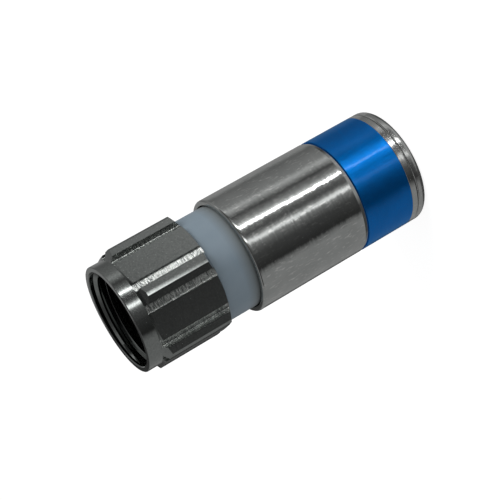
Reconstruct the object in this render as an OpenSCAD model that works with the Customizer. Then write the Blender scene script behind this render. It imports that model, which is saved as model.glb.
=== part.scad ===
// Compression connector with a 3/8-32 coupling nut for a 7 mm coaxial cable, shown open.
// It stands on its cable end: z = 0 is the rear face, and +Z runs along the axis to the nut.
// One flat of the nut faces +X.

/* [Cable] */
// Bore for the cable's jacket over its folded braid, about which the sleeve and body are laid out
jacket_bore_d = 8; // [7.8:0.05:8.3]
// Bore for the foam core of the cable
core_bore_d = 4.9; // [4.6:0.05:5.1]

/* [Coupling nut] */
// Outside diameter of the mating 3/8-32 thread, to which the nut is bored
thread_d = 9.525; // [9.3:0.005:9.7]
// Wall between thread and flat, which makes the nut 11 mm across its flats
nut_wall = 0.7375; // [0.65:0.0025:1]
// Depth that is turned off the corners of the hexagon
corner_cut = 0.1; // [0.05:0.01:0.25]
// Length of the hexagon, from the nut's rear face to the collar
nut_hex_len = 7.2; // [6.5:0.05:9]
// Depth of the round collar in front of the hexagon, below the flats
collar_drop = 0.185; // [0.12:0.005:0.3]
// Length of the collar
nut_collar_len = 1.35; // [0.8:0.05:2.5]
// Depth below the flats at which the rear chamfer starts
rear_drop = 0.15; // [0.1:0.005:0.3]
// Angle of that chamfer, from the rear face
rear_chamfer = 27; // [20:1:45]
// Angle of the chamfer at the hexagon's front end, from the end face
front_chamfer = 30; // [20:1:45]
// Chamfer round the collar's front edge
nut_edge = 0.06; // [0.03:0.01:0.15]
// Countersink at the mouth of the thread
thread_entry = 0.08; // [0.04:0.01:0.2]
// Angle between the two flutes of one flat, which point at the axis
flute_angle = 36.8; // [34:0.2:38]
// Width of a flute
flute_w = 0.82; // [0.6:0.02:1]
// Depth of a flute's flat floor below the flats, measured towards the axis
flute_depth = 0.165; // [0.1:0.005:0.18]
// Depth of the relief behind the thread, where the post's flange turns
relief_depth = 0.19; // [0.16:0.01:0.25]
// Length of the relief in front of the flange
relief_run = 0.12; // [0.08:0.01:0.3]
// Thickness of the inner lip that turns on the post
nut_lip = 1.05; // [0.8:0.05:1.5]

/* [Post] */
// Wall of the thin tail that goes under the braid
tail_wall = 0.3; // [0.2:0.01:0.4]
// Height of the barbs on the tail
barb_rise = 0.3; // [0.15:0.01:0.35]
// Length of one barb
barb_len = 1.1; // [0.8:0.05:1.4]
// Length of a barb's steep back
barb_back = 0.15; // [0.1:0.01:0.3]
// Number of barbs on the tail
barb_count = 2; // [1:1:3]
// Height above the tail of the neck, which carries the nut and is pressed into the body
neck_rise = 0.45; // [0.4:0.01:0.6]
// Height above the neck of the flange that holds the nut on
flange_rise = 1; // [0.8:0.05:1.2]
// Thickness of the flange
flange_t = 1.2; // [0.9:0.05:1.6]
// Length of the tail behind the front end of the clamping ring
tail_reach = 0.85; // [0.5:0.05:1.5]
// Height by which the serrations of the neck bite into the body
neck_bite = 0.03; // [0.02:0.01:0.05]
// Spacing of the serrations on the neck
serration_pitch = 0.6; // [0.5:0.05:0.8]
// Length of a serration's steep back
serration_back = 0.12; // [0.06:0.01:0.2]

/* [Seal] */
// Thickness of the O-ring between the nut and the body
seal_t = 0.85; // [0.7:0.05:1]

/* [Body] */
// Wall of the plastic body, on which the sleeve slides
body_wall = 0.91; // [0.8:0.01:1.1]
// Radial room in the body round the cable's jacket
body_room = 0.25; // [0.2:0.01:0.35]
// Length of the plastic body
body_len = 8.9; // [8:0.1:10]
// Length of the thick collar in front, which the open sleeve leaves bare
body_collar_len = 3.35; // [2.6:0.05:3.6]
// Depth by which the body is thinner between its collar and its rear guide
body_relief = 0.13; // [0.06:0.01:0.2]
// Length of the taper behind the collar
body_taper = 0.4; // [0.2:0.05:0.8]
// Length of the guide at the body's rear end
body_guide_len = 1.1; // [0.8:0.05:1.5]
// Thickness of the front wall, into which the post is pressed
body_front_wall = 3.55; // [3:0.05:4]
// Length of the conical mouth that squeezes the clamping ring
mouth_len = 1.8; // [1.5:0.05:2.4]
// Rounding of the body's front edge
body_round = 0.06; // [0.04:0.01:0.2]
// Chamfer round the body's rear edge
body_chamfer = 0.13; // [0.06:0.01:0.2]

/* [Clamping ring] */
// Wall of the clamping ring
clamp_wall = 0.63; // [0.5:0.01:0.68]
// Length of the ring's nose that enters the body's mouth at the end of the stroke
nose_len = 1.3; // [1:0.05:1.5]
// Depth of the grip grooves in the ring's bore
grip_depth = 0.15; // [0.08:0.01:0.2]
// Spacing of the grip grooves
grip_pitch = 0.8; // [0.6:0.05:1]
// Length of a grip groove's steep front
grip_front = 0.16; // [0.08:0.01:0.3]
// Number of grip grooves
grip_count = 4; // [3:1:5]

/* [Compression sleeve] */
// Wall of the sleeve round the body, which makes it 11.5 mm across
sleeve_wall = 0.525; // [0.45:0.005:0.7]
// Length of the sleeve in front of the coloured band
sleeve_len = 12; // [11:0.1:14]
// Travel of the sleeve when the connector is compressed
stroke = 3; // [2.5:0.1:3.5]
// Rounding of the sleeve's front edge
sleeve_round = 0.2; // [0.1:0.02:0.25]
// Widening of the sleeve's open mouth
mouth_flare = 0.06; // [0.04:0.005:0.15]
// Length of the lead-in cone behind the mouth
lead_in = 0.45; // [0.3:0.05:0.8]
// Length of the small cone at the sleeve's rear shoulder
shoulder_len = 0.45; // [0.3:0.05:0.7]
// Depth of that cone
shoulder_drop = 0.12; // [0.06:0.01:0.18]

/* [Coloured band] */
// Length of the coloured band
band_len = 5.15; // [4:0.05:6]
// Wall of the coloured band
band_wall = 0.42; // [0.3:0.01:0.5]

/* [End ring] */
// Length of the end ring's bright rim, behind the band
rim_len = 1.7; // [1.4:0.05:2.2]
// Rounding of the rim's rear edge
rim_round = 0.58; // [0.4:0.02:0.7]
// Height of the groove turned in the rim, above its rear end
rim_groove_z = 1; // [0.85:0.05:1.2]
// Width of that groove
rim_groove_w = 0.12; // [0.06:0.01:0.2]
// Depth of that groove
rim_groove_depth = 0.15; // [0.06:0.01:0.2]
// Chamfer of the groove's rear edge
rim_groove_edge = 0.08; // [0.04:0.01:0.12]
// Length of the end ring's spigot inside the sleeve
spigot_len = 2.9; // [2:0.05:3.5]
// Radial room in the end ring round the cable's jacket
entry_room = 0.2; // [0.16:0.01:0.25]
// Chamfer at the mouth of that bore
entry_chamfer = 0.3; // [0.15:0.05:0.35]

/* [Clearances] */
// Radial running clearance of the sleeve on the body
slide_gap = 0.065; // [0.03:0.005:0.09]
// Radial running clearance of the nut on the post's neck
turn_gap = 0.08; // [0.03:0.01:0.1]
// End float of the nut, at each of its two faces
nut_float = 0.05; // [0.03:0.01:0.12]
// Gap that is left between sleeve and nut at the end of the stroke
stop_gap = 0.4; // [0.2:0.05:0.5]
// Gap round the clamping ring's nose at the end of the stroke
nose_gap = 0.12; // [0.08:0.01:0.15]
// Gap between the sleeve's inner step and the body at the end of the stroke
step_gap = 0.3; // [0.2:0.05:0.5]
// Gap round the O-ring, so that the nut turns freely
seal_gap = 0.13; // [0.08:0.01:0.2]
// Radial clearance of rings that are slipped onto or into another piece
slip_gap = 0.02; // [0.01:0.005:0.04]

/* [Hidden] */
$fn = 96;

// Overlap that makes a cut run cleanly through a face
cut = 0.1;
// Steps in a quarter of a turned rounding
round_steps = 8;

// Heights of the sleeve group, from the rear face forward
shoulder_z = rim_len + band_len;
mouth_z = shoulder_z + sleeve_len;
spigot_z = rim_len + spigot_len;

// Heights of the nut
nut_z = mouth_z + stroke + stop_gap;
hex_top_z = nut_z + nut_hex_len;
front_z = hex_top_z + nut_collar_len;
seal_pocket = seal_t + seal_gap - nut_float;
lip_z = nut_z + seal_pocket;
lip_top_z = lip_z + nut_lip;

// Heights of the post and the body
flange_z = lip_top_z + nut_float;
relief_z = flange_z + flange_t + relief_run;
body_top_z = nut_z - nut_float;
front_wall_z = body_top_z - body_front_wall;
body_rear_z = body_top_z - body_len;
nose_z = body_rear_z + nose_len - stroke;
tail_z = nose_z - tail_reach;
serration_count = floor(body_front_wall / serration_pitch);
step_z = body_rear_z - stroke - step_gap;

// Radii from the core of the cable outwards
core_bore_r = core_bore_d / 2;
tail_r = core_bore_r + tail_wall;
neck_r = tail_r + neck_rise;
lip_r = neck_r + turn_gap;
seal_pocket_r = neck_r + slip_gap + seal_t + seal_gap;

// Radii from the jacket of the cable outwards
jacket_bore_r = jacket_bore_d / 2;
clamp_r = jacket_bore_r + clamp_wall;
rear_bore_r = clamp_r + slip_gap;
body_bore_r = jacket_bore_r + body_room;
body_r = body_bore_r + body_wall;
guide_bore_r = body_r + slide_gap;
sleeve_r = guide_bore_r + sleeve_wall;
band_seat_r = sleeve_r - band_wall - slip_gap;
mouth_cone_r = clamp_r + nose_gap;
mouth_slope = (mouth_cone_r - body_bore_r) / mouth_len;

// Radii of the nut
thread_r = thread_d / 2;
relief_r = thread_r + relief_depth;
flat_r = thread_r + nut_wall;
corner_r = flat_r / cos(30) - corner_cut;
collar_r = flat_r - collar_drop;
rear_r = flat_r - rear_drop;
flute_floor_r = flat_r - flute_depth;

// Points on a circular arc round (x, y), from one angle to the other
function arc(x, y, r, from, to, steps = round_steps) =
    [for (i = [0:steps]) let (a = from + (to - from) * i / steps) [x + r * cos(a), y + r * sin(a)]];

// Nut: a fluted hexagon with turned corners and chamfered ends, a round collar and an inner lip
module coupling_nut() {
    color([0.36, 0.36, 0.37])
    difference() {
        intersection() {
            translate([0, 0, nut_z])
                linear_extrude(front_z - nut_z)
                    rotate(30) circle(r = flat_r / cos(30), $fn = 6);
            rotate_extrude()
                polygon([
                    [seal_pocket_r, nut_z],
                    [rear_r, nut_z],
                    [corner_r, nut_z + (corner_r - rear_r) * tan(rear_chamfer)],
                    [corner_r, hex_top_z - (corner_r - collar_r) * tan(front_chamfer)],
                    [collar_r, hex_top_z],
                    [collar_r, front_z - nut_edge],
                    [collar_r - nut_edge, front_z],
                    [thread_r + thread_entry, front_z],
                    [thread_r, front_z - thread_entry],
                    [thread_r, relief_z],
                    [relief_r, relief_z],
                    [relief_r, lip_top_z],
                    [lip_r, lip_top_z],
                    [lip_r, lip_z],
                    [seal_pocket_r, lip_z]
                ]);
        }
        for (side = [0:5], end = [-1, 1])
            rotate(60 * side + end * flute_angle / 2)
                translate([flute_floor_r, -flute_w / 2, nut_z - cut])
                    cube([corner_r - flute_floor_r, flute_w, nut_hex_len + cut]);
    }
}

// A row of saw teeth as outline points on a turned surface, each rising forward to a steep back
function teeth(z, count, pitch, back, low_r, high_r) =
    [for (i = [0:count - 1]) each [[low_r, z + i * pitch], [high_r, z + (i + 1) * pitch - back]]];

// Post: a thin barbed tail, a serrated neck and a flange in front of the nut's lip
module centre_post() {
    tip = tail_wall / 2;
    barbs_z = tail_z + tip;
    flange_r = neck_r + flange_rise;
    color([0.78, 0.77, 0.74])
    rotate_extrude()
        polygon(concat(
            [[core_bore_r, tail_z], [core_bore_r + tip, tail_z]],
            teeth(barbs_z, barb_count, barb_len, barb_back, tail_r, tail_r + barb_rise),
            [[tail_r, barbs_z + barb_count * barb_len], [tail_r, front_wall_z - neck_rise]],
            teeth(front_wall_z, serration_count, serration_pitch, serration_back,
                  neck_r, neck_r + neck_bite),
            [
                [neck_r, front_wall_z + serration_count * serration_pitch],
                [neck_r, flange_z],
                [flange_r, flange_z],
                [flange_r, flange_z + flange_t],
                [core_bore_r, flange_z + flange_t]
            ]
        ));
}

// O-ring on the neck, between the body's front face and the nut
module nut_seal() {
    color([0.1, 0.1, 0.1])
    translate([0, 0, body_top_z + slip_gap + seal_t / 2])
        rotate_extrude()
            translate([neck_r + slip_gap + seal_t / 2, 0]) circle(d = seal_t, $fn = 48);
}

// Body: a moulded tube with a thick collar, a guide at the rear and a conical mouth
module plastic_body() {
    collar_z = body_top_z - body_collar_len;
    guide_z = body_rear_z + body_guide_len;
    thin_r = body_r - body_relief;
    color([0.47, 0.53, 0.58])
    rotate_extrude()
        polygon(concat(
            [[neck_r, front_wall_z], [body_bore_r, front_wall_z]],
            [[body_bore_r, body_rear_z + mouth_len], [mouth_cone_r, body_rear_z]],
            [[body_r - body_chamfer, body_rear_z], [body_r, body_rear_z + body_chamfer]],
            [[body_r, guide_z], [thin_r, guide_z + body_relief]],
            [[thin_r, collar_z - body_taper], [body_r, collar_z]],
            arc(body_r - body_round, body_top_z - body_round, body_round, 0, 90),
            [[neck_r, body_top_z]]
        ));
}

// Radius of the clamping ring's nose, so that it clears the body's mouth at the end of the stroke
function nose_r(z) = mouth_cone_r - mouth_slope * (z + stroke - body_rear_z) - nose_gap;

// Clamping ring: a thin sleeve with a conical nose in front and grip grooves in its bore
module clamping_ring() {
    nose_base_z = nose_z - nose_len;
    grips_z = nose_base_z - grip_count * grip_pitch;
    color([0.9, 0.9, 0.87])
    rotate_extrude()
        polygon(concat(
            [[jacket_bore_r, spigot_z], [clamp_r, spigot_z], [clamp_r, nose_base_z]],
            [[nose_r(nose_z), nose_z], [jacket_bore_r, nose_z]],
            [for (i = [grip_count - 1:-1:0]) each [
                [jacket_bore_r, grips_z + (i + 1) * grip_pitch],
                [jacket_bore_r + grip_depth, grips_z + (i + 1) * grip_pitch - grip_front]
            ]],
            [[jacket_bore_r, grips_z]]
        ));
}

// Sleeve: a bright tube that guides on the body, with an inner step and a seat for the band
module compression_sleeve() {
    step = guide_bore_r - rear_bore_r;
    color([0.66, 0.66, 0.65])
    rotate_extrude()
        polygon(concat(
            [[rear_bore_r, rim_len], [band_seat_r, rim_len], [band_seat_r, shoulder_z]],
            [[sleeve_r - shoulder_drop, shoulder_z], [sleeve_r, shoulder_z + shoulder_len]],
            arc(sleeve_r - sleeve_round, mouth_z - sleeve_round, sleeve_round, 0, 90),
            [[guide_bore_r + mouth_flare, mouth_z], [guide_bore_r, mouth_z - lead_in]],
            [[guide_bore_r, step_z], [rear_bore_r, step_z - step]]
        ));
}

// Coloured band: a plain ring between the sleeve's shoulder and the end ring
module colour_band() {
    color([0.02, 0.36, 0.68])
    translate([0, 0, rim_len])
        difference() {
            cylinder(r = sleeve_r, h = band_len);
            translate([0, 0, -cut]) cylinder(r = sleeve_r - band_wall, h = band_len + 2 * cut);
        }
}

// End ring: a rounded rim behind the band, with a turned groove and a spigot inside the sleeve
module end_ring() {
    bore_r = jacket_bore_r + entry_room;
    groove_r = sleeve_r - rim_groove_depth;
    color([0.7, 0.7, 0.69])
    rotate_extrude()
        polygon(concat(
            [[bore_r, entry_chamfer], [bore_r + entry_chamfer, 0]],
            arc(sleeve_r - rim_round, rim_round, rim_round, -90, 0),
            [[sleeve_r, rim_groove_z - rim_groove_edge], [sleeve_r - rim_groove_edge, rim_groove_z]],
            [[groove_r, rim_groove_z], [groove_r, rim_groove_z + rim_groove_w]],
            [[sleeve_r, rim_groove_z + rim_groove_w], [sleeve_r, rim_len], [rear_bore_r, rim_len]],
            [[rear_bore_r, spigot_z], [bore_r, spigot_z]]
        ));
}

coupling_nut();
centre_post();
nut_seal();
plastic_body();
clamping_ring();
compression_sleeve();
colour_band();
end_ring();
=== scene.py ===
import math

import bmesh
import bpy
from mathutils import Matrix, Vector


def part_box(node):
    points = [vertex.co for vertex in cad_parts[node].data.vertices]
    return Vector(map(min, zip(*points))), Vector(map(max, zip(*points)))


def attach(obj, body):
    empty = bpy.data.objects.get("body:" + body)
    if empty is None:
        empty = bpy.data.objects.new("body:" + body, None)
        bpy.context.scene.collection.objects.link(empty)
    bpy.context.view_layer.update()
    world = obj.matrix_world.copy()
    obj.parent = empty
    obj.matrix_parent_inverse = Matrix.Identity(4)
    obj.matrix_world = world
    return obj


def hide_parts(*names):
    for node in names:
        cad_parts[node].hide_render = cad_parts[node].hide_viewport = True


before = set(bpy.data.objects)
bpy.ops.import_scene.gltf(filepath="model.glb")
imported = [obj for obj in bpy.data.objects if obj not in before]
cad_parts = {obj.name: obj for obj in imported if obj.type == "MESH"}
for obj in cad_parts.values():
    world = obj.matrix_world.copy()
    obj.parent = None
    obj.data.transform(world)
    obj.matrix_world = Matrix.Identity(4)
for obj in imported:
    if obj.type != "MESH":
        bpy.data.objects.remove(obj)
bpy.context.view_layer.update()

# Camera
# It looks down on the nut from the front left, a hand's width away, rolled over so that the
# upright connector lies across the picture with its nut at the lower left.
mm = 0.001
view_azimuth = math.radians(-5.67)
view_elevation = math.radians(19.79)
view_roll = math.radians(-119.92)
view_distance = 130.76 * mm
view_target = Vector((-0.484 * mm, 0.049 * mm, 16.62 * mm))
lens = 102.2
nearest_seen = 0.01
farthest_seen = 20

camera_data = bpy.data.cameras.new("camera")
camera_data.lens = lens
camera_data.clip_start = nearest_seen
camera_data.clip_end = farthest_seen
camera = bpy.data.objects.new("camera", camera_data)
bpy.context.scene.collection.objects.link(camera)
camera_back = Vector((
    math.sin(view_azimuth) * math.cos(view_elevation),
    -math.cos(view_azimuth) * math.cos(view_elevation),
    math.sin(view_elevation),
))
upright = camera_back.to_track_quat("Z", "Y").to_matrix().to_4x4()
camera.matrix_world = (
    Matrix.Translation(view_target + camera_back * view_distance)
    @ upright
    @ Matrix.Rotation(view_roll, 4, "Z")
)
bpy.context.scene.camera = camera

# Centre post
# A thin turned tube of nickel-plated brass with two barbs for the cable's braid. Its flange sits
# inside the nut and holds the nut on, and its neck is pressed into the plastic body.
weld_distance = 0.0001 * mm
smoothed_below = math.radians(12)


def turned(name, outline, columns=224):
    """A piece turned from a closed outline of radius and height, spun round the axis."""
    bpy.ops.object.select_all(action="DESELECT")
    bpy.ops.mesh.primitive_circle_add(vertices=len(outline), radius=outline[0][0])
    piece = bpy.context.object
    piece.name = piece.data.name = name
    for vertex, (radius, height) in zip(piece.data.vertices, outline):
        vertex.co = (radius, 0, height)
    bpy.ops.object.mode_set(mode="EDIT")
    bpy.ops.mesh.select_all(action="SELECT")
    bpy.ops.mesh.spin(steps=columns, angle=2 * math.pi, center=(0, 0, 0), axis=(0, 0, 1))
    bpy.ops.mesh.select_all(action="SELECT")
    bpy.ops.mesh.remove_doubles(threshold=weld_distance)
    bpy.ops.mesh.normals_make_consistent(inside=False)
    bpy.ops.object.mode_set(mode="OBJECT")
    return piece


def apply_modifiers(piece):
    """Applies every modifier of a piece, in order."""
    bpy.ops.object.select_all(action="DESELECT")
    piece.select_set(True)
    bpy.context.view_layer.objects.active = piece
    for modifier in list(piece.modifiers):
        bpy.ops.object.modifier_apply(modifier=modifier.name)


def break_edges(piece, width, sharpest=24):
    """Takes the sharpness off every edge that is steeper than the angle, and smooths the rest."""
    bevel = piece.modifiers.new("broken edges", "BEVEL")
    bevel.width = width
    bevel.segments = 1
    bevel.limit_method = "ANGLE"
    bevel.angle_limit = math.radians(sharpest)
    apply_modifiers(piece)
    bpy.ops.object.shade_smooth_by_angle(angle=smoothed_below)


def dress(piece, material):
    """Gives a piece its material, as its only slot."""
    piece.data.materials.clear()
    piece.data.materials.append(material)


def new_material(name):
    """An empty principled material, with its nodes, links and shader."""
    material = bpy.data.materials.new(name)
    material.use_nodes = True
    nodes = material.node_tree.nodes
    return material, nodes, material.node_tree.links, nodes["Principled BSDF"]


def fine_pattern(nodes, links, scale, detail=3):
    """Noise on the object's own coordinates, stretched by its scale along X, Y and Z."""
    place = nodes.new("ShaderNodeTexCoord")
    mapping = nodes.new("ShaderNodeMapping")
    mapping.inputs["Scale"].default_value = scale
    noise = nodes.new("ShaderNodeTexNoise")
    noise.inputs["Scale"].default_value = 1
    noise.inputs["Detail"].default_value = detail
    links.new(place.outputs["Object"], mapping.inputs["Vector"])
    links.new(mapping.outputs["Vector"], noise.inputs["Vector"])
    return noise.outputs["Fac"]


def vary(nodes, links, pattern, low, high, target, start=0.3, end=0.7):
    """Drives a socket between two values by the stretch of a pattern between start and end."""
    spread = nodes.new("ShaderNodeMapRange")
    spread.inputs["From Min"].default_value = start
    spread.inputs["From Max"].default_value = end
    spread.inputs["To Min"].default_value = low
    spread.inputs["To Max"].default_value = high
    links.new(pattern, spread.inputs["Value"])
    links.new(spread.outputs["Result"], target)


def tint(nodes, links, pattern, dark, light, target, start=0.3, end=0.7):
    """Mixes two colours by the stretch of a pattern between start and end."""
    spread = nodes.new("ShaderNodeMapRange")
    spread.inputs["From Min"].default_value = start
    spread.inputs["From Max"].default_value = end
    mix = nodes.new("ShaderNodeMix")
    mix.data_type = "RGBA"
    mix.inputs["A"].default_value = (*dark, 1)
    mix.inputs["B"].default_value = (*light, 1)
    links.new(pattern, spread.inputs["Value"])
    links.new(spread.outputs["Result"], mix.inputs["Factor"])
    links.new(mix.outputs["Result"], target)


def waver(nodes, links, pattern, swing):
    """Turning marks: the surface's normal swings round the axis by a pattern."""
    surface = nodes.new("ShaderNodeNewGeometry")
    around = nodes.new("ShaderNodeVectorMath")
    around.operation = "CROSS_PRODUCT"
    around.inputs[0].default_value = (0, 0, 1)
    amount = nodes.new("ShaderNodeMapRange")
    amount.inputs["To Min"].default_value = -swing
    amount.inputs["To Max"].default_value = swing
    push = nodes.new("ShaderNodeVectorMath")
    push.operation = "SCALE"
    total = nodes.new("ShaderNodeVectorMath")
    total.operation = "ADD"
    unit = nodes.new("ShaderNodeVectorMath")
    unit.operation = "NORMALIZE"
    links.new(surface.outputs["Normal"], around.inputs[1])
    links.new(pattern, amount.inputs["Value"])
    links.new(around.outputs["Vector"], push.inputs["Vector"])
    links.new(amount.outputs["Result"], push.inputs["Scale"])
    links.new(surface.outputs["Normal"], total.inputs[0])
    links.new(push.outputs["Vector"], total.inputs[1])
    links.new(total.outputs["Vector"], unit.inputs[0])
    return unit.outputs["Vector"]


def grain_bump(nodes, links, pattern, height, target, normal=None):
    """A bump of the given height in metres, over another normal where one is given."""
    bump = nodes.new("ShaderNodeBump")
    bump.inputs["Distance"].default_value = height
    links.new(pattern, bump.inputs["Height"])
    if normal:
        links.new(normal, bump.inputs["Normal"])
    links.new(bump.outputs["Normal"], target)


cloud_scale = (500, 500, 500)
turning_scale = (800, 800, 7000)
grain_scale = (6000, 6000, 6000)
scuff_scale = (5000, 5000, 1500)
scuff_colour = (0.8, 0.8, 0.78, 1)
scuff_strength = 0.7
scuff_stretch = (0.57, 0.74)
smoothest_share = 0.8
roughest_share = 1.25


def plating(name, dark, light, roughness, swing, grain_height):
    """Metal plating with turning marks round the axis, a fine grain and a few pale scuffs."""
    material, nodes, links, shader = new_material(name)
    shader.inputs["Metallic"].default_value = 1
    clouds = fine_pattern(nodes, links, cloud_scale, detail=2)
    marks = fine_pattern(nodes, links, turning_scale, detail=3)
    grain = fine_pattern(nodes, links, grain_scale, detail=2)
    scuffs = fine_pattern(nodes, links, scuff_scale, detail=3)
    scuffed = nodes.new("ShaderNodeMix")
    scuffed.data_type = "RGBA"
    scuffed.inputs["B"].default_value = scuff_colour
    tint(nodes, links, clouds, dark, light, scuffed.inputs["A"])
    vary(nodes, links, scuffs, 0, scuff_strength, scuffed.inputs["Factor"], *scuff_stretch)
    links.new(scuffed.outputs["Result"], shader.inputs["Base Color"])
    smoothest = roughness * smoothest_share
    roughest = roughness * roughest_share
    vary(nodes, links, grain, smoothest, roughest, shader.inputs["Roughness"])
    turned_normal = waver(nodes, links, marks, swing)
    grain_bump(nodes, links, grain, grain_height, shader.inputs["Normal"], turned_normal)
    return material


post_low, post_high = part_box("centre_post")
body_low, body_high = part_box("plastic_body")
core_radius = 2.45 * mm
tail_radius = 2.75 * mm
barb_radius = 3.05 * mm
neck_radius = 3.2 * mm
flange_thickness = 1.2 * mm
barb_length = 1.1 * mm
barb_back = 0.15 * mm
front_wall = 3.55 * mm

tail_tip = (tail_radius - core_radius) / 2
flange_radius = post_high.x
flange_back = post_high.z - flange_thickness
seat_height = body_high.z - front_wall
barb_start = post_low.z + tail_tip
post = turned("post", [
    (core_radius, post_low.z),
    (core_radius + tail_tip, post_low.z),
    (tail_radius, barb_start),
    (barb_radius, barb_start + barb_length - barb_back),
    (tail_radius, barb_start + barb_length),
    (barb_radius, barb_start + 2 * barb_length - barb_back),
    (tail_radius, barb_start + 2 * barb_length),
    (tail_radius, seat_height - (neck_radius - tail_radius)),
    (neck_radius, seat_height),
    (neck_radius, flange_back),
    (flange_radius, flange_back),
    (flange_radius, post_high.z),
    (core_radius, post_high.z),
])
break_edges(post, width=0.04 * mm)
post_plating = plating(
    "post plating", dark=(0.55, 0.53, 0.49), light=(0.64, 0.62, 0.58),
    roughness=0.22, swing=0.04, grain_height=0.0005 * mm)
dress(post, post_plating)
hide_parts("centre_post")
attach(post, "front")

# Coupling nut
# Turned from drawn hexagon bar of brass, with a round collar in front and two flutes milled in
# each flat, then nickel-plated: flats and flutes stay duller than what is turned. It is bored for
# a 3/8-32 thread, and its inner lip turns behind the post's flange.
nut_low, nut_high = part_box("coupling_nut")
flat_radius = nut_high.x
corner_radius = nut_high.y
collar_radius = 5.315 * mm
collar_length = 1.35 * mm
collar_edge = 0.06 * mm
nut_rear_radius = 5.35 * mm
rear_chamfer = math.radians(27)
front_chamfer = math.radians(30)
flute_bearing = math.radians(18.4)
flute_floor = 5.335 * mm
flute_half_width = 0.41 * mm
flute_fillet = 0.1 * mm
fillet_steps = 8
middle_steps = 14
outer_steps = 6
thread_radius = 4.7625 * mm
thread_entry = 0.08 * mm
relief_radius = 4.9525 * mm
relief_front = 25.6 * mm
lip_radius = 3.28 * mm
lip_back = 23.18 * mm
lip_front = 24.23 * mm
seal_pocket_radius = 4.2 * mm

hex_top = nut_high.z - collar_length
corner_bearing = math.acos(flat_radius / corner_radius)
flute_edges = [
    flat_radius * math.tan(flute_bearing) + side * flute_half_width / math.cos(flute_bearing)
    for side in (-1, 1)
]
edge_bearings = [math.atan2(edge, flat_radius) for edge in flute_edges]


def flat_columns(start, end, steps):
    """Points on a flat between two offsets, the last left out, each with its bearing."""
    offsets = [start + (end - start) * i / steps for i in range(steps)]
    return [(Vector((flat_radius, y)), math.atan2(y, flat_radius)) for y in offsets]


def flute_columns():
    """Points down one wall of a flute, over its fillets and floor and up the other wall."""
    foot = flute_half_width - flute_fillet
    fillet = [
        (flute_fillet * (1 - math.cos(t)), foot + flute_fillet * math.sin(t))
        for t in (math.pi / 2 * i / fillet_steps for i in range(fillet_steps + 1))
    ]
    points = [(rise, -y) for rise, y in reversed(fillet)]
    points += [(0, foot * i / 2) for i in (-1, 0, 1)]
    points += fillet
    turn = Matrix.Rotation(flute_bearing, 2)
    columns = [(Vector((flat_radius, flute_edges[0])), edge_bearings[0])]
    for rise, y in points:
        point = turn @ Vector((flute_floor + rise, y))
        bearing = math.atan2(point.y, point.x)
        columns.append((point, min(max(bearing, edge_bearings[0]), edge_bearings[1])))
    return columns


def corner_columns(steps=3):
    """Points on the turned corner, from the flat's end to the middle of the corner."""
    bearings = [
        corner_bearing + (math.pi / 6 - corner_bearing) * i / steps for i in range(steps + 1)
    ]
    return [(Vector((math.cos(t), math.sin(t))) * corner_radius, t) for t in bearings]


corner_offset = flat_radius * math.tan(corner_bearing)
half_side = (
    flat_columns(0, flute_edges[0], middle_steps)
    + flute_columns()
    + flat_columns(flute_edges[1], corner_offset, outer_steps)
    + corner_columns()
)
mirrored_half = [(Vector((p.x, -p.y)), -bearing) for p, bearing in reversed(half_side[1:-1])]
side_columns = []
for side in range(6):
    turn = Matrix.Rotation(math.radians(60 * side), 2)
    for point, bearing in mirrored_half + half_side:
        side_columns.append((turn @ point, bearing + math.radians(60 * side)))

bpy.ops.object.select_all(action="DESELECT")
bpy.ops.mesh.primitive_circle_add(vertices=len(side_columns), radius=seal_pocket_radius)
nut = bpy.context.object
nut.name = nut.data.name = "nut"
column_numbers = nut.data.attributes.new("column", "INT", "POINT")
column_numbers.data.foreach_set("value", range(len(side_columns)))
bpy.ops.object.mode_set(mode="EDIT")
bpy.ops.mesh.select_all(action="SELECT")


def place_ring(height, radius=None):
    """Moves the nut's open edge to a height, on a circle or else on the fluted side."""
    mesh = bmesh.from_edit_mesh(nut.data)
    number = mesh.verts.layers.int["column"]
    for vertex in mesh.verts:
        if vertex.select:
            point, bearing = side_columns[vertex[number]]
            if radius:
                point = Vector((math.cos(bearing), math.sin(bearing))) * radius
            vertex.co = (point.x, point.y, height(point.length))
    bmesh.update_edit_mesh(nut.data)


def next_ring(height, radius=None):
    """Extrudes the nut's open edge into one more ring."""
    bpy.ops.mesh.extrude_region_move()
    place_ring(height, radius)


place_ring(lambda reach: nut_low.z, seal_pocket_radius)
next_ring(lambda reach: nut_low.z, nut_rear_radius)
next_ring(lambda reach: nut_low.z + (reach - nut_rear_radius) * math.tan(rear_chamfer))
next_ring(lambda reach: hex_top - (reach - collar_radius) * math.tan(front_chamfer))
for ring_radius, ring_height in (
    (collar_radius, hex_top),
    (collar_radius, nut_high.z - collar_edge),
    (collar_radius - collar_edge, nut_high.z),
    (thread_radius + thread_entry, nut_high.z),
    (thread_radius, nut_high.z - thread_entry),
    (thread_radius, relief_front),
    (relief_radius, relief_front),
    (relief_radius, lip_front),
    (lip_radius, lip_front),
    (lip_radius, lip_back),
    (seal_pocket_radius, lip_back),
    (seal_pocket_radius, nut_low.z),
):
    next_ring(lambda reach: ring_height, ring_radius)
bpy.ops.mesh.select_all(action="SELECT")
bpy.ops.mesh.remove_doubles(threshold=weld_distance)
bpy.ops.mesh.normals_make_consistent(inside=False)
bpy.ops.object.mode_set(mode="OBJECT")
break_edges(nut, width=0.035 * mm, sharpest=32)

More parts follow.
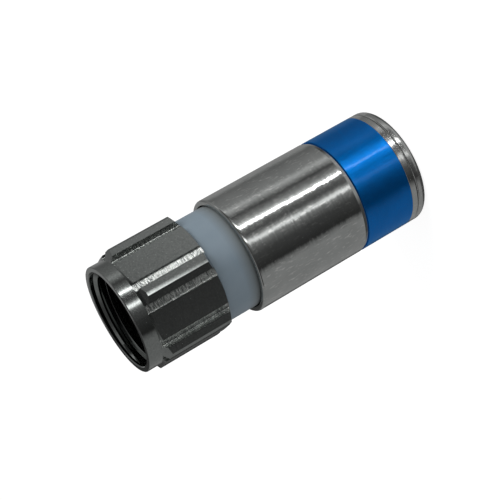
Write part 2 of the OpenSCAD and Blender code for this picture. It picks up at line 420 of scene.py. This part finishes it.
turned_roughness = 0.12
drawn_roughness = 0.2
milled_roughness = 0.26
nickel_dark = (0.252, 0.268, 0.26)
nickel_light = (0.32, 0.337, 0.328)
milled_dark = (0.22, 0.235, 0.23)
milled_light = (0.6, 0.62, 0.6)
milled_stretch = (0.36, 0.64)
chatter_scale = (2200, 2200, 15000)
chatter_height = 0.005 * mm
nickel_grain_height = 0.0004 * mm
nut_swing = 0.015
milled_margin = 0.01 * mm
drawn_margin = 0.005 * mm
rear_margin = 0.1 * mm
front_margin = 0.05 * mm

milled = nut.data.attributes.new("milled", "FLOAT", "FACE")
drawn = nut.data.attributes.new("drawn", "FLOAT", "FACE")
for polygon in nut.data.polygons:
    centre = polygon.center
    bearing = math.atan2(centre.y, centre.x)
    from_flat = abs((bearing + math.pi / 6) % (math.pi / 3) - math.pi / 6)
    offset = centre.xy.length * math.sin(from_flat - flute_bearing)
    floor_reach = centre.xy.length * math.cos(from_flat - flute_bearing)
    flat_reach = centre.xy.length * math.cos(from_flat)
    in_flute = abs(offset) < flute_half_width and floor_reach > flute_floor - milled_margin
    below_flat = flat_reach < flat_radius - milled_margin
    on_flat = abs(flat_reach - flat_radius) < drawn_margin
    on_side = nut_low.z + rear_margin < centre.z < hex_top - front_margin
    milled.data[polygon.index].value = float(in_flute and below_flat and on_side)
    drawn.data[polygon.index].value = float(on_flat and on_side)

nut_plating, nodes, links, shader = new_material("nut plating")
shader.inputs["Metallic"].default_value = 1
marks = fine_pattern(nodes, links, turning_scale, detail=3)
grain = fine_pattern(nodes, links, grain_scale, detail=2)
chatter = fine_pattern(nodes, links, chatter_scale, detail=1)
in_flutes = nodes.new("ShaderNodeAttribute")
in_flutes.attribute_name = "milled"
bare = nodes.new("ShaderNodeMix")
bare.data_type = "RGBA"
tint(nodes, links, grain, nickel_dark, nickel_light, bare.inputs["A"])
tint(nodes, links, chatter, milled_dark, milled_light, bare.inputs["B"], *milled_stretch)
links.new(in_flutes.outputs["Fac"], bare.inputs["Factor"])
links.new(bare.outputs["Result"], shader.inputs["Base Color"])
on_flats = nodes.new("ShaderNodeAttribute")
on_flats.attribute_name = "drawn"
flat_finish = nodes.new("ShaderNodeMapRange")
flat_finish.inputs["To Min"].default_value = turned_roughness
flat_finish.inputs["To Max"].default_value = drawn_roughness
finish = nodes.new("ShaderNodeMapRange")
finish.inputs["To Max"].default_value = milled_roughness
links.new(on_flats.outputs["Fac"], flat_finish.inputs["Value"])
links.new(flat_finish.outputs["Result"], finish.inputs["To Min"])
links.new(in_flutes.outputs["Fac"], finish.inputs["Value"])
links.new(finish.outputs["Result"], shader.inputs["Roughness"])
tool_marks = nodes.new("ShaderNodeMath")
tool_marks.operation = "MULTIPLY"
links.new(in_flutes.outputs["Fac"], tool_marks.inputs[0])
links.new(chatter, tool_marks.inputs[1])
rough_floor = nodes.new("ShaderNodeBump")
rough_floor.inputs["Distance"].default_value = chatter_height
links.new(tool_marks.outputs["Value"], rough_floor.inputs["Height"])
links.new(waver(nodes, links, marks, nut_swing), rough_floor.inputs["Normal"])
milled_normal = rough_floor.outputs["Normal"]
grain_bump(nodes, links, grain, nickel_grain_height, shader.inputs["Normal"], milled_normal)
dress(nut, nut_plating)
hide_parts("coupling_nut")
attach(nut, "nut")

# Thread of the nut
# The right-handed 3/8-32 ridge that was cut in the nut's bore. It runs out at both ends, and it
# turns with the nut.
thread_pitch = 25.4 * mm / 32
ridge_tip_radius = 4.38 * mm
ridge_base = 0.72 * mm
ridge_tip = 0.2 * mm
ridge_sink = 0.03 * mm
thread_start = 25.96 * mm
thread_turns = 5.5
turn_steps = 120
ridge_corners = 4
run_out = 0.5
ridge_smoothing = math.radians(30)

sunk_radius = thread_radius + ridge_sink
bpy.ops.object.select_all(action="DESELECT")
bpy.ops.mesh.primitive_circle_add(vertices=ridge_corners, radius=ridge_base)
thread = bpy.context.object
thread.name = thread.data.name = "nut_thread"
for vertex, (radius, height) in zip(thread.data.vertices, (
    (sunk_radius, -ridge_base / 2),
    (ridge_tip_radius, -ridge_tip / 2),
    (ridge_tip_radius, ridge_tip / 2),
    (sunk_radius, ridge_base / 2),
)):
    vertex.co = (radius, 0, thread_start + height)
screw = thread.modifiers.new("thread", "SCREW")
screw.angle = 2 * math.pi * thread_turns
screw.screw_offset = thread_pitch * thread_turns
screw.steps = screw.render_steps = round(turn_steps * thread_turns)
screw.use_merge_vertices = False
apply_modifiers(thread)
bpy.ops.object.mode_set(mode="EDIT")
bpy.ops.mesh.select_all(action="DESELECT")
bpy.ops.mesh.select_non_manifold()
bpy.ops.mesh.edge_face_add()
bpy.ops.mesh.select_all(action="SELECT")
bpy.ops.mesh.remove_doubles(threshold=weld_distance)
bpy.ops.mesh.normals_make_consistent(inside=False)
bpy.ops.object.mode_set(mode="OBJECT")
for index, vertex in enumerate(thread.data.vertices):
    turns = (index // ridge_corners) / turn_steps
    fade = max(0, min(1, turns / run_out, (thread_turns - turns) / run_out))
    reach = vertex.co.xy.length
    vertex.co.xy *= (sunk_radius - (sunk_radius - reach) * fade) / reach
thread.data.update()
bpy.ops.object.shade_smooth_by_angle(angle=ridge_smoothing)
dress(thread, nut_plating)
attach(thread, "nut")

# Nut seal
# A small black O-ring of rubber, slipped over the post's neck between the body and the nut.
seal_low, seal_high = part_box("nut_seal")
seal_thickness = seal_high.z - seal_low.z
bpy.ops.object.select_all(action="DESELECT")
bpy.ops.mesh.primitive_torus_add(
    major_segments=128, minor_segments=32,
    major_radius=seal_high.x - seal_thickness / 2, minor_radius=seal_thickness / 2,
    location=(0, 0, (seal_low.z + seal_high.z) / 2))
bpy.ops.object.transform_apply(location=True, rotation=True, scale=True)
seal = bpy.context.object
seal.name = seal.data.name = "seal"
bpy.ops.object.mode_set(mode="EDIT")
bpy.ops.mesh.normals_make_consistent(inside=False)
bpy.ops.object.mode_set(mode="OBJECT")
bpy.ops.object.shade_smooth()
rubber_dark = (0.012, 0.012, 0.012)
rubber_light = (0.03, 0.03, 0.03)
rubber_roughness = (0.5, 0.65)
rubber_scale = (9000, 9000, 9000)
rubber_grain_height = 0.004 * mm
rubber, nodes, links, shader = new_material("black rubber")
grain = fine_pattern(nodes, links, rubber_scale)
tint(nodes, links, grain, rubber_dark, rubber_light, shader.inputs["Base Color"])
vary(nodes, links, grain, *rubber_roughness, shader.inputs["Roughness"])
grain_bump(nodes, links, grain, rubber_grain_height, shader.inputs["Normal"])
dress(seal, rubber)
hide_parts("nut_seal")
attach(seal, "front")

# Plastic body
# A moulded tube of blue-grey plastic. Its thick collar in front stays bare while the connector
# is open, with painted shade darkening its foot next to the sleeve's mouth, and the rest guides
# the sleeve and ends in a conical mouth.
body_radius = body_high.x
body_bore = 4.25 * mm
body_mouth = 4.75 * mm
body_mouth_length = 1.8 * mm
body_collar_length = 3.35 * mm
body_guide_length = 1.1 * mm
body_relief = 0.13 * mm
body_taper = 0.4 * mm
body_rounding = 0.06 * mm
# Painted shade at the collar's foot, where the sleeve's mouth shades it: its colour and length.
painted_shade_colour = (0.17, 0.188, 0.19, 1)
painted_shade_length = 1.2 * mm


def arc(radius, height, rounding, start, end, steps=8):
    """Points of a turned rounding about (radius, height), from one angle to the other."""
    turns = [math.radians(start + (end - start) * i / steps) for i in range(steps + 1)]
    return [(radius + rounding * math.cos(t), height + rounding * math.sin(t)) for t in turns]


collar_foot = body_high.z - body_collar_length
guide_top = body_low.z + body_guide_length
body = turned("body", [
    (neck_radius, seat_height),
    (body_bore, seat_height),
    (body_bore, body_low.z + body_mouth_length),
    (body_mouth, body_low.z),
    (body_radius - body_relief, body_low.z),
    (body_radius, body_low.z + body_relief),
    (body_radius, guide_top),
    (body_radius - body_relief, guide_top + body_relief),
    (body_radius - body_relief, collar_foot - body_taper),
    (body_radius, collar_foot),
    *arc(body_radius - body_rounding, body_high.z - body_rounding, body_rounding, 0, 90),
    (neck_radius, body_high.z),
])
break_edges(body, width=0.04 * mm)

plastic_cloud_scale = (350, 350, 350)
plastic_grain_scale = (11000, 11000, 11000)
satin_spread = 0.1


def moulded(name, dark, light, roughness, grain_height):
    """Moulded plastic: a fine even grain with a slight cloudiness."""
    material, nodes, links, shader = new_material(name)
    clouds = fine_pattern(nodes, links, plastic_cloud_scale, detail=2)
    grain = fine_pattern(nodes, links, plastic_grain_scale, detail=2)
    tint(nodes, links, clouds, dark, light, shader.inputs["Base Color"])
    smoothest = roughness * (1 - satin_spread)
    roughest = roughness * (1 + satin_spread)
    vary(nodes, links, grain, smoothest, roughest, shader.inputs["Roughness"])
    grain_bump(nodes, links, grain, grain_height, shader.inputs["Normal"])
    return material


body_plastic = moulded(
    "blue-grey plastic", dark=(0.2, 0.26, 0.31), light=(0.23, 0.29, 0.34),
    roughness=0.45, grain_height=0.002 * mm)
nodes = body_plastic.node_tree.nodes
links = body_plastic.node_tree.links
body_colour = nodes["Principled BSDF"].inputs["Base Color"]
unshaded_colour = body_colour.links[0].from_socket
# Painted shade: over its last stretch the collar's colour darkens towards its foot, where the
# sleeve's mouth shades it.
place = nodes.new("ShaderNodeTexCoord")
split = nodes.new("ShaderNodeSeparateXYZ")
shaded_foot = nodes.new("ShaderNodeMix")
shaded_foot.data_type = "RGBA"
shaded_foot.inputs["A"].default_value = painted_shade_colour
painted_shade_end = collar_foot + painted_shade_length
links.new(place.outputs["Object"], split.inputs["Vector"])
vary(nodes, links, split.outputs["Z"], 0, 1, shaded_foot.inputs["Factor"], collar_foot, painted_shade_end)
links.new(unshaded_colour, shaded_foot.inputs["B"])
links.new(shaded_foot.outputs["Result"], body_colour)
dress(body, body_plastic)
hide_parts("plastic_body")
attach(body, "front")

# Clamping ring
# A white plastic ring inside the sleeve. When the sleeve is driven home, the body's conical
# mouth squeezes the ring's nose onto the cable's jacket, which its grooves grip.
clamp_low, clamp_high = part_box("clamping_ring")
jacket_radius = 4 * mm
nose_length = 1.3 * mm
nose_tip_radius = 4.27 * mm
grip_pitch = 0.8 * mm
grip_depth = 0.15 * mm
grip_front = 0.16 * mm
grip_count = 4

nose_base = clamp_high.z - nose_length
grips = []
for i in range(grip_count):
    grip_top = nose_base - i * grip_pitch
    grips += [(jacket_radius, grip_top), (jacket_radius + grip_depth, grip_top - grip_front)]
clamp = turned("clamp", [
    (jacket_radius, clamp_low.z),
    (clamp_high.x, clamp_low.z),
    (clamp_high.x, nose_base),
    (nose_tip_radius, clamp_high.z),
    (jacket_radius, clamp_high.z),
    *grips,
    (jacket_radius, nose_base - grip_count * grip_pitch),
])
break_edges(clamp, width=0.03 * mm)
clamp_plastic = moulded(
    "white plastic", dark=(0.7, 0.7, 0.66), light=(0.78, 0.78, 0.74),
    roughness=0.4, grain_height=0.001 * mm)
dress(clamp, clamp_plastic)
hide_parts("clamping_ring")
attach(clamp, "sleeve")

# Compression sleeve
# A bright nickel-plated brass tube that slides over the body. It is rounded at its mouth, and at
# its rear it steps in under the band behind a narrow bright lip.
sleeve_low, sleeve_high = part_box("compression_sleeve")
band_low, band_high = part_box("colour_band")
sleeve_radius = sleeve_high.x
rear_bore = 4.65 * mm
guide_bore = 5.225 * mm
band_seat = 5.31 * mm
shoulder_drop = 0.12 * mm
shoulder_length = 0.45 * mm
sleeve_rounding = 0.2 * mm
mouth_flare = 0.06 * mm
lead_in = 0.45 * mm
step_height = 10 * mm

sleeve = turned("sleeve", [
    (rear_bore, sleeve_low.z),
    (band_seat, sleeve_low.z),
    (band_seat, band_high.z),
    (sleeve_radius - shoulder_drop, band_high.z),
    (sleeve_radius, band_high.z + shoulder_length),
    (sleeve_radius, sleeve_high.z - 2 * sleeve_rounding),
    *arc(sleeve_radius - sleeve_rounding, sleeve_high.z - sleeve_rounding, sleeve_rounding, 0, 90),
    (guide_bore + mouth_flare, sleeve_high.z),
    (guide_bore, sleeve_high.z - lead_in),
    (guide_bore, step_height),
    (rear_bore, step_height - (guide_bore - rear_bore)),
])
break_edges(sleeve, width=0.03 * mm)
sleeve_plating = plating(
    "sleeve plating", dark=(0.44, 0.455, 0.445), light=(0.51, 0.525, 0.515),
    roughness=0.09, swing=0.038, grain_height=nickel_grain_height)
dress(sleeve, sleeve_plating)
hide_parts("compression_sleeve")
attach(sleeve, "sleeve")

# Coloured band
# A glossy ring of blue anodised aluminium, slipped on between the sleeve's shoulder and the end
# ring. It is plain all round.
band_wall = 0.42 * mm
band_radius = band_high.x
blue_dark = (0.001, 0.205, 0.7)
blue_light = (0.002, 0.225, 0.77)
blue_edge = (0.12, 0.72, 0.95, 1)
blue_roughness = (0.32, 0.38)
blue_swing = 0.03
blue_grain_height = 0.0004 * mm
gloss = 0.28
gloss_roughness = 0.05
ripple_scale = (250, 250, 1800)
ripple_swing = 0.06

band = turned("band", [
    (band_radius - band_wall, band_low.z),
    (band_radius, band_low.z),
    (band_radius, band_high.z),
    (band_radius - band_wall, band_high.z),
])
break_edges(band, width=0.03 * mm)
anodised, nodes, links, shader = new_material("blue anodising")
shader.inputs["Metallic"].default_value = 1
shader.inputs["Specular Tint"].default_value = blue_edge
shader.inputs["Coat Weight"].default_value = gloss
shader.inputs["Coat Roughness"].default_value = gloss_roughness
clouds = fine_pattern(nodes, links, cloud_scale, detail=2)
marks = fine_pattern(nodes, links, turning_scale, detail=3)
grain = fine_pattern(nodes, links, grain_scale, detail=2)
tint(nodes, links, clouds, blue_dark, blue_light, shader.inputs["Base Color"])
vary(nodes, links, marks, *blue_roughness, shader.inputs["Roughness"])
turned_normal = waver(nodes, links, marks, blue_swing)
grain_bump(nodes, links, grain, blue_grain_height, shader.inputs["Normal"], turned_normal)
ripples = fine_pattern(nodes, links, ripple_scale, detail=3)
links.new(waver(nodes, links, ripples, ripple_swing), shader.inputs["Coat Normal"])
dress(band, anodised)
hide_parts("colour_band")
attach(band, "sleeve")

# End ring
# The bright turned rim behind the band, rounded at its rear edge and with a turned groove. Its
# spigot is pressed into the sleeve and traps the band and the clamping ring.
rim_low, rim_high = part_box("end_ring")
rim_radius = rim_high.x
rim_length = 1.7 * mm
rim_rounding = 0.58 * mm
groove_foot = 1 * mm
groove_width = 0.12 * mm
groove_depth = 0.15 * mm
groove_edge = 0.08 * mm
entry_radius = 4.2 * mm
entry_chamfer = 0.3 * mm

rim = turned("rim", [
    (entry_radius, entry_chamfer),
    (entry_radius + entry_chamfer, 0),
    *arc(rim_radius - rim_rounding, rim_rounding, rim_rounding, -90, 0, steps=12),
    (rim_radius, groove_foot - groove_edge),
    (rim_radius - groove_edge, groove_foot),
    (rim_radius - groove_depth, groove_foot),
    (rim_radius - groove_depth, groove_foot + groove_width),
    (rim_radius, groove_foot + groove_width),
    (rim_radius, rim_length),
    (rear_bore, rim_length),
    (rear_bore, rim_high.z),
    (entry_radius, rim_high.z),
])
break_edges(rim, width=0.025 * mm)
rim_plating = plating(
    "rim plating", dark=(0.5, 0.51, 0.5), light=(0.59, 0.6, 0.59),
    roughness=0.17, swing=0.045, grain_height=nickel_grain_height)
dress(rim, rim_plating)
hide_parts("end_ring")
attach(rim, "sleeve")

# Floor
# A pale floor that the connector stands on. The camera sees it nearly white, with a faint
# shadow, and the plating reflects the studio round it instead.
floor_size = 4
paper_colour = (0.8, 0.8, 0.8, 1)
shadow_colour = (0.3, 0.3, 0.3, 1)
floor_glow = 0.88

bpy.ops.object.select_all(action="DESELECT")
bpy.ops.mesh.primitive_plane_add(size=floor_size)
floor = bpy.context.object
floor.name = "floor"
floor.visible_glossy = False
floor_material = bpy.data.materials.new("pale floor")
floor_material.use_nodes = True
nodes = floor_material.node_tree.nodes
links = floor_material.node_tree.links
nodes.clear()
path = nodes.new("ShaderNodeLightPath")
paper = nodes.new("ShaderNodeBsdfDiffuse")
paper.inputs["Color"].default_value = paper_colour
shaded = nodes.new("ShaderNodeBsdfDiffuse")
shaded.inputs["Color"].default_value = shadow_colour
glow = nodes.new("ShaderNodeEmission")
glow.inputs["Strength"].default_value = floor_glow
bright = nodes.new("ShaderNodeAddShader")
choice = nodes.new("ShaderNodeMixShader")
output = nodes.new("ShaderNodeOutputMaterial")
links.new(shaded.outputs["BSDF"], bright.inputs[0])
links.new(glow.outputs["Emission"], bright.inputs[1])
links.new(path.outputs["Is Camera Ray"], choice.inputs["Fac"])
links.new(paper.outputs["BSDF"], choice.inputs[1])
links.new(bright.outputs["Shader"], choice.inputs[2])
links.new(choice.outputs["Shader"], output.inputs["Surface"])
floor.data.materials.append(floor_material)

# Studio
# A white room round the connector. The plating mirrors its walls: grey cards, a dark curtain, a
# pale table, a ceiling that is dark overhead and on the near side, and two leaning lamp strips,
# the first brightest near its top. A soft key lamp stands high on the bright side.
room_level = 0.45
backdrop_level = 1
table_level = 0.45
table_edge_level = 0.08
ceiling_level = 0.3
zenith_level = 0.1
near_top_level = 0.05
grey_cards = [(-180, 0.05), (-160, 0.1), (-150, 0.32), (-66, 0.33), (-57, 0.22)]
curtain = [(-50, 0.035), (-40, 0.05), (-22, 0.08), (-14, 0.16), (-5, 0.35)]
first_lamp = [(-1.5, 1.4), (2, 1.4), (6, 0.4)]
between_lamps = [(13, 0.12), (18, 0.13), (28, 0.3)]
second_lamp = [(29.5, 2), (30.5, 2), (30.8, 9), (33.2, 9), (33.5, 2), (34.5, 2), (36, 0.8)]
bright_card = [(42, 0.36), (56, 0.08), (72, 0.66), (82, 0.34)]
far_walls = [(98, 0.28), (124, 0.19), (138, 0.34), (158, 0.3), (180, 0.2)]
near_walls = grey_cards + curtain + first_lamp + between_lamps
walls_seen = near_walls + second_lamp + bright_card + far_walls
brightest = 9
strip_lean = 67
lean_start = -0.385
lean_bearings = (-20, -5)
lamp_top_start = (-4, -2)
lamp_top_end = (4, 7)
lamp_top_heights = (-0.32, -0.25)
lamp_top_gain = 3
table_heights = (-0.5, -0.65)
table_start = (-50, -20)
table_end = (80, 110)
ceiling_heights = (0.35, 0.6)
zenith_heights = (0.8, 0.92)
near_top_heights = (-0.2, -0.08)
near_top_depths = (0, 0.2)

world = bpy.data.worlds.new("studio")
bpy.context.scene.world = world
world.use_nodes = True
world.cycles.sampling_method = "NONE"
nodes = world.node_tree.nodes
links = world.node_tree.links
nodes.clear()


def spread_node(source, bounds, start=0, end=1):
    """A value between two bounds, spread between a start and an end."""
    node = nodes.new("ShaderNodeMapRange")
    node.inputs["From Min"].default_value = bounds[0]
    node.inputs["From Max"].default_value = bounds[1]
    node.inputs["To Min"].default_value = start
    node.inputs["To Max"].default_value = end
    links.new(source, node.inputs["Value"])
    return node.outputs["Result"]


def math_node(operation, first, second):
    """Two values joined by an operation."""
    node = nodes.new("ShaderNodeMath")
    node.operation = operation
    links.new(first, node.inputs[0])
    links.new(second, node.inputs[1])
    return node.outputs["Value"]


def background(strength):
    """A white background of one strength."""
    node = nodes.new("ShaderNodeBackground")
    node.inputs["Color"].default_value = (1, 1, 1, 1)
    node.inputs["Strength"].default_value = strength
    return node


def choose(factor, first, second):
    """Mixes two backgrounds."""
    node = nodes.new("ShaderNodeMixShader")
    links.new(factor, node.inputs["Fac"])
    links.new(first, node.inputs[1])
    links.new(second, node.inputs[2])
    return node.outputs["Shader"]


def turn_shares(bearings):
    """The walls' bearings in degrees as shares of a whole turn."""
    return [(degrees + 180) / 360 for degrees in bearings]


direction = nodes.new("ShaderNodeTexCoord")
to_camera = nodes.new("ShaderNodeMapping")
to_camera.inputs["Rotation"].default_value = (0, 0, math.radians(90) - view_azimuth)
split = nodes.new("ShaderNodeSeparateXYZ")
links.new(direction.outputs["Generated"], to_camera.inputs["Vector"])
links.new(to_camera.outputs["Vector"], split.inputs["Vector"])
mirrored_depth = split.outputs["X"]
mirrored_height = split.outputs["Z"]
mirrored_turn = spread_node(
    math_node("ARCTAN2", split.outputs["Y"], mirrored_depth), (-math.pi, math.pi))

lean = spread_node(mirrored_height, (lean_start, 0), 0, lean_start * strip_lean / 360)
leaning = spread_node(mirrored_turn, turn_shares(lean_bearings))
leant_turn = math_node("ADD", mirrored_turn, math_node("MULTIPLY", lean, leaning))
walls = nodes.new("ShaderNodeValToRGB")
links.new(leant_turn, walls.inputs["Fac"])
ramp = walls.color_ramp
ramp.elements.remove(ramp.elements[1])
wall_places = turn_shares(bearing for bearing, level in walls_seen)
for index, (wall_place, (bearing, level)) in enumerate(zip(wall_places, walls_seen)):
    stop = ramp.elements.new(wall_place) if index else ramp.elements[0]
    stop.position = wall_place
    stop.color = (level / brightest,) * 3 + (1,)
wall_light = background(brightest)
links.new(walls.outputs["Color"], wall_light.inputs["Color"])
past_start = spread_node(leant_turn, turn_shares(lamp_top_start))
before_end = spread_node(leant_turn, turn_shares(lamp_top_end), 1, 0)
on_first_lamp = math_node("MULTIPLY", past_start, before_end)
on_lamp_top = math_node(
    "MULTIPLY", on_first_lamp, spread_node(mirrored_height, lamp_top_heights))
wall_strength = spread_node(on_lamp_top, (0, 1), brightest, lamp_top_gain * brightest)
links.new(wall_strength, wall_light.inputs["Strength"])
wall_shade = wall_light.outputs["Background"]

near_top_shade = background(near_top_level).outputs["Background"]
on_near_top = math_node(
    "MULTIPLY",
    spread_node(mirrored_height, near_top_heights),
    spread_node(mirrored_depth, near_top_depths),
)
mirrored = choose(on_near_top, wall_shade, near_top_shade)
ceiling = choose(
    spread_node(mirrored_height, zenith_heights),
    background(ceiling_level).outputs["Background"],
    background(zenith_level).outputs["Background"],
)
mirrored = choose(spread_node(mirrored_height, ceiling_heights), mirrored, ceiling)
table_light = background(table_level)
on_table = math_node(
    "MULTIPLY",
    spread_node(mirrored_turn, turn_shares(table_start)),
    spread_node(mirrored_turn, turn_shares(table_end), 1, 0),
)
table_strength = spread_node(on_table, (0, 1), table_edge_level, table_level)
links.new(table_strength, table_light.inputs["Strength"])
table_shade = table_light.outputs["Background"]
mirrored = choose(spread_node(mirrored_height, table_heights), mirrored, table_shade)

path = nodes.new("ShaderNodeLightPath")
room_shade = background(room_level).outputs["Background"]
backdrop_shade = background(backdrop_level).outputs["Background"]
seen = choose(path.outputs["Is Glossy Ray"], room_shade, mirrored)
seen = choose(path.outputs["Is Camera Ray"], seen, backdrop_shade)
output = nodes.new("ShaderNodeOutputWorld")
links.new(seen, output.inputs["Surface"])

key_bearing = view_azimuth + math.radians(62)
key_elevation = math.radians(40)
key_distance = 0.4
key_size = 0.25
key_power = 0.85

key_data = bpy.data.lights.new("key", "AREA")
key_data.shape = "DISK"
key_data.size = key_size
key_data.energy = key_power
key = bpy.data.objects.new("key", key_data)
key.visible_glossy = False
bpy.context.scene.collection.objects.link(key)
key_back = Vector((
    math.sin(key_bearing) * math.cos(key_elevation),
    -math.cos(key_bearing) * math.cos(key_elevation),
    math.sin(key_elevation),
))
key.matrix_world = (
    Matrix.Translation(view_target + key_back * key_distance)
    @ key_back.to_track_quat("Z", "Y").to_matrix().to_4x4()
)

bpy.context.scene.view_settings.view_transform = "Standard"
